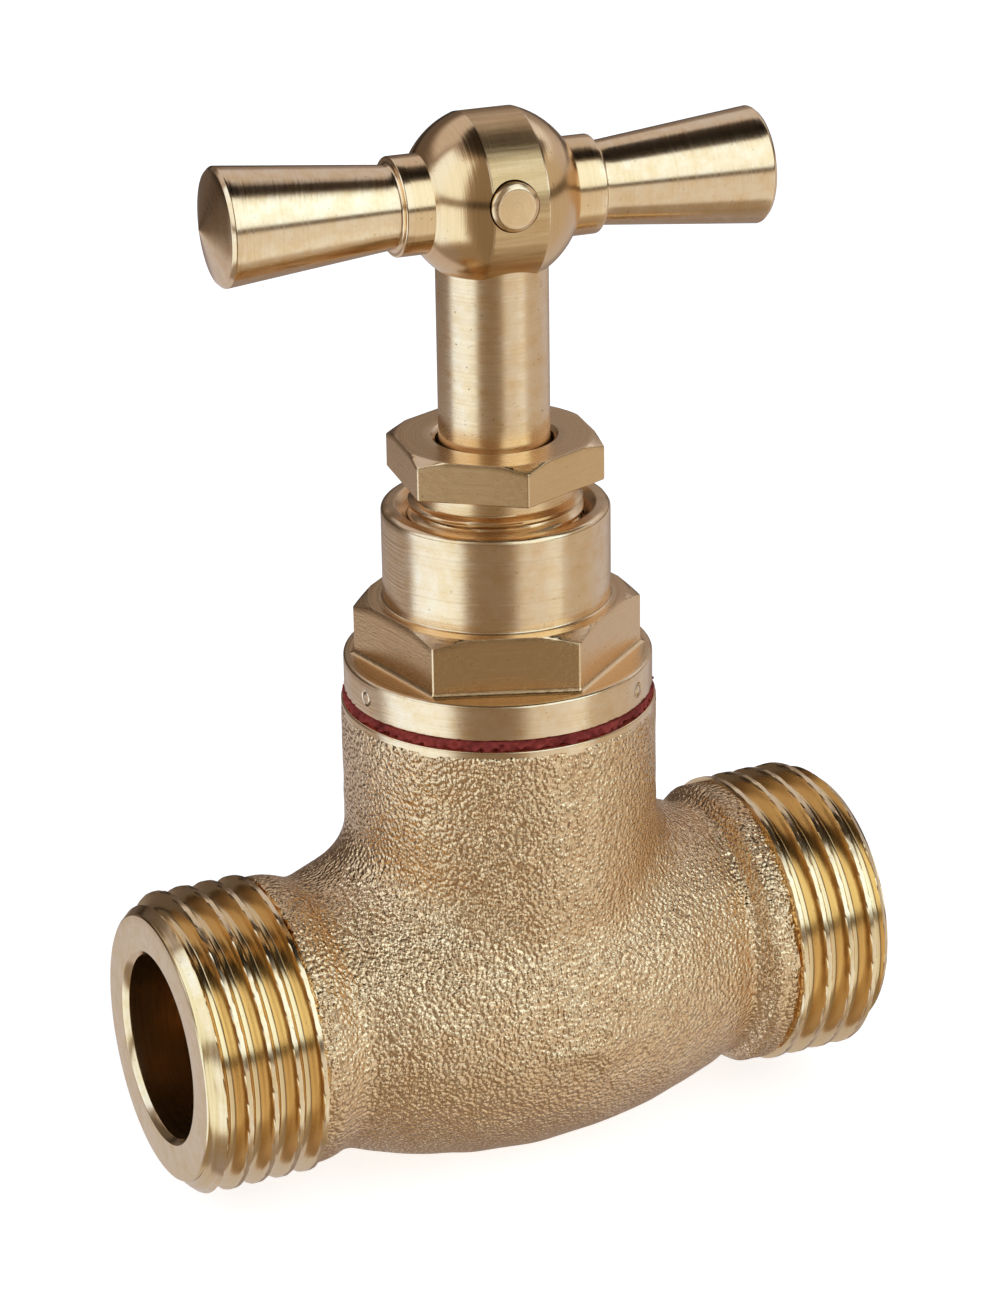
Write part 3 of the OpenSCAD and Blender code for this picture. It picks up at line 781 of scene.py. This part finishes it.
def hexRows(hexR, low, top, coneR, bevel, atCorner):
    # Side of a chamfered hexagon: up the flat to where a 30 degree cone cuts it, along the cone to
    # the top, each edge broken by a small bevel.
    drop = np.maximum(hexR - coneR, 0.0) * math.tan(math.radians(30.0))
    topR = np.minimum(hexR - 0.5 * bevel, coneR)
    rows = []
    for share in np.linspace(0.0, 1.0, 8):
        rows.append((hexR, low + (top - drop - bevel - low) * share, 0.6 * atCorner))
    rows.append((hexR - 0.3 * bevel, top - drop - 0.3 * bevel, 0.0 * hexR + 1.0))
    rows.append((topR + 0.15 * bevel, top - 0.12 * bevel + 0.0 * hexR, 0.0 * hexR + 0.8))
    rows.append((topR - bevel, top + 0.0 * hexR, 0.0 * hexR + 0.5))
    return rows


def stackRows(rows, angles):
    # Joins rows into grids of points and edge marks.
    r, z, edge = (np.array([row[k] for row in rows]) for k in range(3))
    return np.stack([r * np.cos(angles), r * np.sin(angles), z], axis=2), edge


# bonnet

bonnetSize = dict(spigotR=9.0, spigotLow=15.5, threadDepth=0.6, threadLow=15.9, threadTop=21.6, flangeR=10.55,
                  flangeTop=24.6, flat=17.0, turn=39.0, hexTop=28.6, coneR=8.81, shoulderR=8.2, rounding=0.22,
                  bevel=0.09, foot=0.35, barrelR=7.75, rimZ=35.2, rimRound=0.4, rimInnerR=6.75, boxR=6.0,
                  boxThreadLow=32.2, boxFloor=28.0, liftR=5.05, liftLow=16.0, backSeat=26.5, stemHole=3.8,
                  dentsIn=6.9, dentsOut=7.5, dentDepth=0.05)


def threadRows(radius, depth, pitch, low, high, angles, perPitch=10, inward=False):
    # Helical rows from low to high: radius less depth off the crest, faded out at both ends.
    sign = -1.0 if inward else 1.0
    rows = []
    for z in np.linspace(low, high, max(2, int(abs(high - low) / pitch * perPitch))):
        fade = min(1.0, abs(z - low) / (0.3 * pitch), abs(high - z) / (0.3 * pitch))
        form = ridge(z / pitch - angles / (2.0 * np.pi), 0.1, 1.1)
        rows.append((radius - sign * depth * (1.0 - form * fade), np.full_like(angles, z), 0.6 * form))
    return rows


def makeBonnet(size):
    # Rows run up the outside from the spigot to the rim, then down the packing box and the bore. The
    # flange meets the hexagon in a small quarter round, and the rim is dented a little.
    angles, atCorner = hexAngles(size["flat"], size["rounding"], size["turn"])
    hexR = hexRadius(angles, size["flat"], size["rounding"], size["turn"])
    depth = size["threadDepth"]
    rootR = size["spigotR"] - depth
    rows = roundRows([
        [size["liftR"], size["spigotLow"] + 0.3, 0], [size["liftR"] + 0.3, size["spigotLow"], 1],
        [rootR - 0.3, size["spigotLow"], 0], [rootR, size["threadLow"] - 0.1, 1]], angles)
    rows += threadRows(size["spigotR"], depth, 1.0, size["threadLow"], size["threadTop"], angles)
    rows += roundRows(finePoints(roundedOutline([
        [rootR, size["threadTop"] + 0.1, 0], [rootR, gasketTop, 0.05],
        [size["flangeR"], gasketTop, 0.1], [size["flangeR"], size["flangeTop"], 0.22],
        [size["flangeR"] - 0.5, size["flangeTop"], 0]]), 0.4), angles)
    foot, top = size["foot"], size["flangeTop"]
    for turnPart in np.linspace(0.0, math.pi / 2.0, 5):
        reach, rise = foot * (1.0 - math.sin(turnPart)), foot * (1.0 - math.cos(turnPart))
        rows.append((np.minimum(hexR + reach, size["flangeR"] - 0.35), top + rise + 0.0 * hexR, 0.0 * hexR))
    rows += hexRows(hexR, top + foot + 0.05, size["hexTop"], size["coneR"], size["bevel"], atCorner)
    rows += roundRows(finePoints(roundedOutline([
        [size["shoulderR"], size["hexTop"], 0], [size["barrelR"], size["hexTop"], 0.14],
        [size["barrelR"], size["rimZ"], size["rimRound"]], [size["rimInnerR"], size["rimZ"], 0.1],
        [size["boxR"], size["rimZ"] - 0.75, 0]]), 0.35), angles)
    rows += threadRows(size["boxR"], 0.5, 1.0, size["rimZ"] - 0.8, size["boxThreadLow"], angles, inward=True)
    rows += roundRows(roundedOutline([
        [size["boxR"], size["boxThreadLow"] - 0.2, 0], [size["boxR"], size["boxFloor"], 0.1],
        [size["stemHole"], size["boxFloor"], 0.1], [size["stemHole"], size["backSeat"], 0.05],
        [size["liftR"], size["backSeat"], 0.05], [size["liftR"], size["liftLow"], 0]]), angles)
    points, edge = stackRows(rows, angles)
    onRim = smoothStep(size["dentsIn"], size["dentsOut"], np.hypot(points[..., 0], points[..., 1]))
    dents = smoothStep(size["rimZ"] - 0.5, size["rimZ"], points[..., 2]) * onRim
    points[..., 2] -= size["dentDepth"] * dents * np.maximum(waveNoise(points, 1.6, 31), 0.0)
    piece = ringPiece("bonnetTurned", points, edge, bonnetBrass)
    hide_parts("bonnet")
    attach(piece, "root")


makeBonnet(bonnetSize)


# gland nut

glandSize = dict(low=32.5, threadR=5.95, threadTop=36.1, neckR=5.5, hexLow=37.2, top=40.0, flat=13.0,
                 turn=22.0, coneR=6.73, faceR=6.3, rounding=0.16, bevel=0.08, holeR=4.0, holeChamfer=0.28)


def makeGlandNut(size):
    # Rows run up the thread and the neck, under and over the hexagon, and back down the hole.
    angles, atCorner = hexAngles(size["flat"], size["rounding"], size["turn"])
    hexR = hexRadius(angles, size["flat"], size["rounding"], size["turn"])
    rows = roundRows([[size["holeR"], size["low"] + 0.2, 0], [size["holeR"] + 0.2, size["low"], 1],
                      [size["neckR"] - 0.2, size["low"], 0], [size["neckR"], size["low"] + 0.2, 1]], angles)
    depth = size["threadR"] - size["neckR"]
    rows += threadRows(size["threadR"], depth, 1.0, size["low"] + 0.25, size["threadTop"], angles)
    rows += roundRows(roundedOutline([
        [size["neckR"], size["threadTop"] + 0.05, 0], [size["neckR"], size["hexLow"], 0.15],
        [size["neckR"] + 0.6, size["hexLow"], 0]]), angles)
    rows.append((hexR - size["bevel"], size["hexLow"] + 0.0 * hexR, 0.0 * hexR + 0.5))
    rows += hexRows(hexR, size["hexLow"] + size["bevel"], size["top"], size["coneR"], size["bevel"], atCorner)
    rows += roundRows(finePoints(roundedOutline([
        [size["faceR"], size["top"], 0], [size["holeR"] + size["holeChamfer"], size["top"], 0.06],
        [size["holeR"], size["top"] - size["holeChamfer"], 0.06],
        [size["holeR"], size["low"] + 1.0, 0]]), 0.5), angles)
    points, edge = stackRows(rows, angles)
    piece = ringPiece("glandNut", points, edge, nutBrass)
    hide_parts("gland_nut")
    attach(piece, "gland")


makeGlandNut(glandSize)


# stem

stemSize = dict(low=11.9, top=59.0, radius=3.75, spigotR=3.4, spigotTop=15.3, grooveR=3.0, grooveLow=12.9,
                grooveTop=13.8, shankR=4.0, liftR=5.0, liftPitch=2.0, liftLow=18.3, liftTop=26.3, columns=128)


def makeStem(size):
    # Spigot with its clip groove, shank, lifting thread and plain stem, carried round the axis.
    angles = np.linspace(0.0, 2.0 * np.pi, size["columns"], endpoint=False)
    low = roundedOutline([
        [0.0, size["low"], 0], [size["spigotR"], size["low"], 0.25],
        [size["spigotR"], size["grooveLow"], 0.05], [size["grooveR"], size["grooveLow"], 0.05],
        [size["grooveR"], size["grooveTop"], 0.05], [size["spigotR"], size["grooveTop"], 0.05],
        [size["spigotR"], size["spigotTop"], 0.1], [size["shankR"], size["spigotTop"], 0.2],
        [size["shankR"], size["liftLow"], 0]])
    high = roundedOutline([
        [size["shankR"], size["liftTop"] + 0.02, 0], [size["radius"], size["liftTop"] + 0.1, 0.1],
        [size["radius"], size["top"], 0.3], [0.0, size["top"], 0]])
    rows = roundRows(finePoints(low, 0.8), angles)
    depth, start = size["liftR"] - size["shankR"], size["liftLow"] + 0.02
    rows += threadRows(size["liftR"], depth, size["liftPitch"], start, size["liftTop"], angles)
    rows += roundRows(finePoints(high, 0.8), angles)
    points, edge = stackRows(rows, angles)
    piece = solidPiece("stemShaft", points, edge, stemBrass)
    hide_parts("stem")
    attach(piece, "spindle")


makeStem(stemSize)


# T-bar and pin

teeSize = dict(height=56.4, turn=-4.0, hubR=6.0, barR=5.7, collarR=3.3, collarX=7.0, rootR=2.7, endR=3.95,
               rimX=18.6, capR=3.72, capX=18.86, tipX=19.95, holeR=3.8, holeTop=59.05, drillLow=40.0,
               pinHoleR=1.7, pinRise=0.7, pinShift=-0.5, columns=256)
pinSize = dict(radius=1.62, half=6.1, dome=0.28, hammered=0.03, columns=96)
barSkin = dict(half=1.85, border=0.04, streaks=3600.0, share=0.95, roughness=0.14, depth=1.2e-5,
               tone=colour(0.6, 0.38, 0.17))


def addBarSkin(tree, shader, place, size=barSkin):
    # Drawn skin left on the middle of the bar: streaks along its axis, duller and deeper in tone.
    along = sums(tree, "ABSOLUTE", put(tree, "SeparateXYZ", {0: place}).outputs[2])
    inside = remap(tree, along, (size["half"] + size["border"]) * mm, size["half"] * mm)
    drawn = put(tree, "Mapping", {"Vector": place, "Scale": (1.0, 1.0, 0.06)}).outputs[0]
    streaks = noise(tree, drawn, size["streaks"], 3.0, 0.6)
    share = times(tree, inside, remap(tree, streaks, 0.3, 0.65, 0.4, size["share"]))
    join(tree, mixColour(tree, share, joined(shader, "Base Color"), size["tone"]), shader, "Base Color")
    duller = sums(tree, "MULTIPLY_ADD", inside, size["roughness"], joined(shader, "Roughness"))
    join(tree, duller, shader, "Roughness")
    bump = put(tree, "Bump", {"Height": times(tree, streaks, inside), "Strength": 0.8,
                              "Distance": size["depth"], "Normal": joined(shader, "Normal")})
    join(tree, bump.outputs[0], shader, "Normal")


handleBrass = turnedBrass("handleBrass", roughness=0.16, bump=0.6, lineScale=6000.0, turn=(0.0, 90.0, 0.0),
                          centre=(0.0, 0.0, teeSize["height"]), lean=-teeSize["turn"], addMore=addBarSkin)
pinBrass = turnedBrass("pinBrass", roughness=0.22, bump=0.2, turn=(90.0, 0.0, 0.0), lean=-teeSize["turn"],
                       centre=(teeSize["pinShift"], 0.0, teeSize["height"] + teeSize["pinRise"]))


def armOutline(size):
    # Half of the T-bar from the middle of the hub to its tip: band, ball, collar, taper and cap.
    bandX = math.sqrt(size["hubR"] ** 2 - size["barR"] ** 2)
    meetX = math.sqrt(size["hubR"] ** 2 - size["collarR"] ** 2)
    ballX = np.linspace(bandX + 0.15, meetX - 0.05, 14)
    ball = [[math.sqrt(size["hubR"] ** 2 - x * x), x, 0.0] for x in ballX]
    arm = roundedOutline([
        [size["collarR"], meetX, 0], [size["collarR"], size["collarX"], 0.14],
        [size["rootR"] + 0.05, size["collarX"] + 0.02, 0.3], [size["endR"], size["rimX"], 0.14],
        [size["capR"], size["capX"], 0.08], [0.16, size["tipX"] - 0.06, 0.05], [0.0, size["tipX"], 0]])
    band = [[size["barR"], x, 0.0] for x in np.linspace(0.0, bandX - 0.1, 6)]
    return np.concatenate([band, [[size["barR"] - 0.005, bandX + 0.02, 1.0]], ball, finePoints(arm, 0.5)])


def bothHalves(half):
    # An outline from its middle to one end, joined to its mirror image.
    return np.concatenate([half[:0:-1] * [1.0, -1.0, 1.0], half])


def intoHandle(points, size):
    # Along-axis pieces are made about Z; Z becomes the arms' axis, turned by the handle's angle.
    turn = math.radians(size["turn"])
    along, across, up = points[..., 2], points[..., 1], points[..., 0]
    return np.stack([along * math.cos(turn) + across * math.sin(turn),
                     along * math.sin(turn) - across * math.cos(turn), up + size["height"]], axis=-1)


def drill(piece, name, start, end, radius):
    # Cuts a round hole from start to end: a boolean with a plain cylinder that is then removed.
    a, b = np.array(start), np.array(end)
    way = (b - a) / np.linalg.norm(b - a)
    side = np.cross(way, [0.3, 0.5, 0.8])
    side /= np.linalg.norm(side)
    other = np.cross(way, side)
    angle = np.linspace(0.0, 2.0 * np.pi, 128, endpoint=False)[:, None]
    ring = radius * (np.cos(angle) * side + np.sin(angle) * other)
    points = np.stack([a + 0.0 * ring, a + ring, b + ring, b + 0.0 * ring])
    tool = solidPiece(name, points, np.zeros(points.shape[:2]), piece.data.materials[0])
    cut = piece.modifiers.new("drill", "BOOLEAN")
    cut.operation, cut.solver, cut.object = "DIFFERENCE", "EXACT", tool
    depsgraph = bpy.context.evaluated_depsgraph_get()
    result = bpy.data.meshes.new_from_object(piece.evaluated_get(depsgraph))
    piece.modifiers.clear()
    piece.data = result
    bpy.data.objects.remove(tool)


def makeTeeBar(size):
    # The half outline and its mirror image carried round the arms' axis, then drilled twice.
    points, edge = turnedGrid(bothHalves(armOutline(size)), size["columns"])
    piece = solidPiece("teeBar", intoHandle(points, size), edge, handleBrass)
    drill(piece, "stemDrill", (0.0, 0.0, size["drillLow"]), (0.0, 0.0, size["holeTop"]), size["holeR"])
    turn = math.radians(size["turn"])
    way = np.array([math.sin(turn), -math.cos(turn), 0.0]) * 1.5 * size["hubR"]
    middle = np.array([size["pinShift"] * math.cos(turn), size["pinShift"] * math.sin(turn),
                       size["height"] + size["pinRise"]])
    drill(piece, "pinDrill", middle - way, middle + way, size["pinHoleR"])
    piece.data.set_sharp_from_angle(angle=math.radians(32.0))
    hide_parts("tee_handle")
    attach(piece, "spindle")


def makePin(size):
    # Drawn pin with a rounded edge and a slightly hammered, domed face at each end.
    half, r = size["half"], size["radius"]
    end = roundedOutline([[r, 0.0, 0], [r, half - size["dome"], 0.12], [r - 0.3, half - 0.06, 0.15],
                          [0.0, half, 0]])
    points, edge = turnedGrid(bothHalves(finePoints(end, 0.15)), size["columns"])
    atEnd = smoothStep(half - 0.5, half, np.abs(points[..., 2]))
    hammered = size["hammered"] * waveNoise(points, 2.2, 41) * atEnd
    points[..., 2] -= np.sign(points[..., 2]) * np.abs(hammered)
    turn = math.radians(teeSize["turn"])
    across, along, up = points[..., 0] + teeSize["pinShift"], points[..., 2], points[..., 1]
    placed = np.stack([across * math.cos(turn) - along * math.sin(turn),
                       across * math.sin(turn) + along * math.cos(turn),
                       up + teeSize["height"] + teeSize["pinRise"]], axis=-1)
    piece = solidPiece("crossPin", placed, edge, pinBrass)
    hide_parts("handle_pin")
    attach(piece, "spindle")


makeTeeBar(teeSize)
makePin(pinSize)


# inner pieces keep their shape and get a finish

innerFinish = {"packing_base_washer": innerBrass, "packing_ring_1": packingFibre,
               "packing_ring_2": packingFibre, "packing_ring_3": packingFibre, "gland_washer": innerBrass,
               "disc_holder": innerBrass, "seat_washer": blackRubber, "washer_nut": innerBrass,
               "disc_clip": springSteel}
for nodeName, finish in innerFinish.items():
    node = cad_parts[nodeName]
    node.data.materials.clear()
    node.data.materials.append(finish)
print("inner pieces finished")


# floor and light

# A patch of the room is azimuth, elevation, half width, half height, soft border and strength. A
# channel of the tint is its share in no light, its slope with light and its lift in the cool patch.
studio = dict(
    floorDrop=0.05, floorHalf=3000.0, floorTone=0.86, floorGlow=0.72, base=0.31,
    tint=[(1.02, -0.12, 0.0), (0.72, 0.25, 0.05), (0.42, 0.6, 0.2)],
    cool=(180.0, 0.0, 85.0, 70.0, 12.0, 1.0),
    boxes=[(20.0, 34.0, 28.0, 25.0, 4.0, 1.0), (-88.0, 5.0, 26.0, 45.0, 8.0, 0.9),
           (20.0, -27.0, 20.0, 24.0, 8.0, 0.5), (80.0, -10.0, 35.0, 40.0, 25.0, 0.28),
           (-163.0, -52.0, 30.0, 27.0, 6.0, 0.3), (155.0, 45.0, 75.0, 16.0, 5.0, 0.32)],
    gaps=[(0.0, 2.5, 200.0, 3.2, 2.5, 0.8), (0.0, 90.0, 200.0, 26.0, 4.0, 0.93),
          (-30.0, 10.0, 13.0, 90.0, 11.0, 0.18), (78.0, 54.0, 21.0, 19.0, 5.0, 0.88),
          (-165.0, 8.0, 35.0, 20.0, 8.0, 0.6)])


def makeFloor(size):
    # One large square just under the lowest point, lit enough to come out nearly white.
    material, tree, shader, place = startMaterial("paleFloor")
    speck = noise(tree, place, 30.0, 2.0)
    join(tree, remap(tree, speck, 0.3, 0.7, 0.78, 0.82), shader, "Roughness")
    shader.inputs["Base Color"].default_value = colour(*3 * [size["floorTone"]])
    shader.inputs["Emission Color"].default_value = colour(1.0, 1.0, 1.0)
    shader.inputs["Emission Strength"].default_value = size["floorGlow"]
    low = cadBounds[0][2] / mm - size["floorDrop"]
    half = size["floorHalf"]
    corners = np.array([[-half, -half, low], [half, -half, low], [half, half, low], [-half, half, low]])
    floor = placeMesh("floor", corners, [[0, 1, 2, 3]], material)
    floor.visible_glossy = False


def softPatch(tree, azimuth, elevation, patch):
    # The patch's strength inside its rectangle of directions, falling smoothly to 0 over its border.
    toSide, toTop, width, height, soft, strength = patch
    turned = sums(tree, "SUBTRACT", azimuth, toSide)
    across = sums(tree, "ABSOLUTE", sums(tree, "WRAP", turned, 180.0, -180.0))
    upDown = sums(tree, "ABSOLUTE", sums(tree, "SUBTRACT", elevation, toTop))
    for distance, half in ((across, width), (upDown, height)):
        fall = put(tree, "MapRange", {"Value": distance, "From Min": half + soft, "From Max": half},
                   interpolation_type="SMOOTHSTEP")
        strength = times(tree, fall.outputs["Result"], strength)
    return strength


def makeStudio(size):
    # The room as a function of direction: an even base, soft boxes added, dark gaps taken away.
    # Azimuth is 0 towards -Y and grows towards +X. Each channel is light times (start + slope light
    # + lift), so the room is warm where it is dark and white in the boxes. The camera sees white.
    world = bpy.data.worlds.new("studio")
    world.use_nodes = True
    bpy.context.scene.world = world
    tree = world.node_tree
    tree.nodes.clear()
    way = put(tree, "SeparateXYZ", {0: put(tree, "TexCoord").outputs["Generated"]})
    azimuth = sums(tree, "DEGREES", sums(tree, "ARCTAN2", way.outputs[0],
                                         times(tree, way.outputs[1], -1.0)))
    elevation = sums(tree, "DEGREES", sums(tree, "ARCSINE", way.outputs[2]))
    light = size["base"]
    for box in size["boxes"]:
        light = plus(tree, softPatch(tree, azimuth, elevation, box), light)
    for gap in size["gaps"]:
        shade = sums(tree, "SUBTRACT", 1.0, softPatch(tree, azimuth, elevation, gap))
        light = times(tree, light, shade)
    seen = put(tree, "LightPath").outputs["Is Camera Ray"]
    plain = put(tree, "Background", {"Color": colour(1.0, 1.0, 1.0), "Strength": 1.0})
    cool = softPatch(tree, azimuth, elevation, size["cool"])
    shares = []
    for start, slope, lift in size["tint"]:
        warm = sums(tree, "MULTIPLY_ADD", light, slope, start)
        shares.append(sums(tree, "MULTIPLY_ADD", cool, lift, warm))
    tint = put(tree, "CombineXYZ", dict(enumerate(shares))).outputs[0]
    room = put(tree, "Background", {"Color": tint, "Strength": light})
    both = put(tree, "MixShader", {0: seen, 1: room.outputs[0], 2: plain.outputs[0]})
    tree.links.new(both.outputs[0], put(tree, "OutputWorld").inputs[0])


makeFloor(studio)
makeStudio(studio)
bpy.context.scene.view_settings.view_transform = "Standard"
print("studio ready")
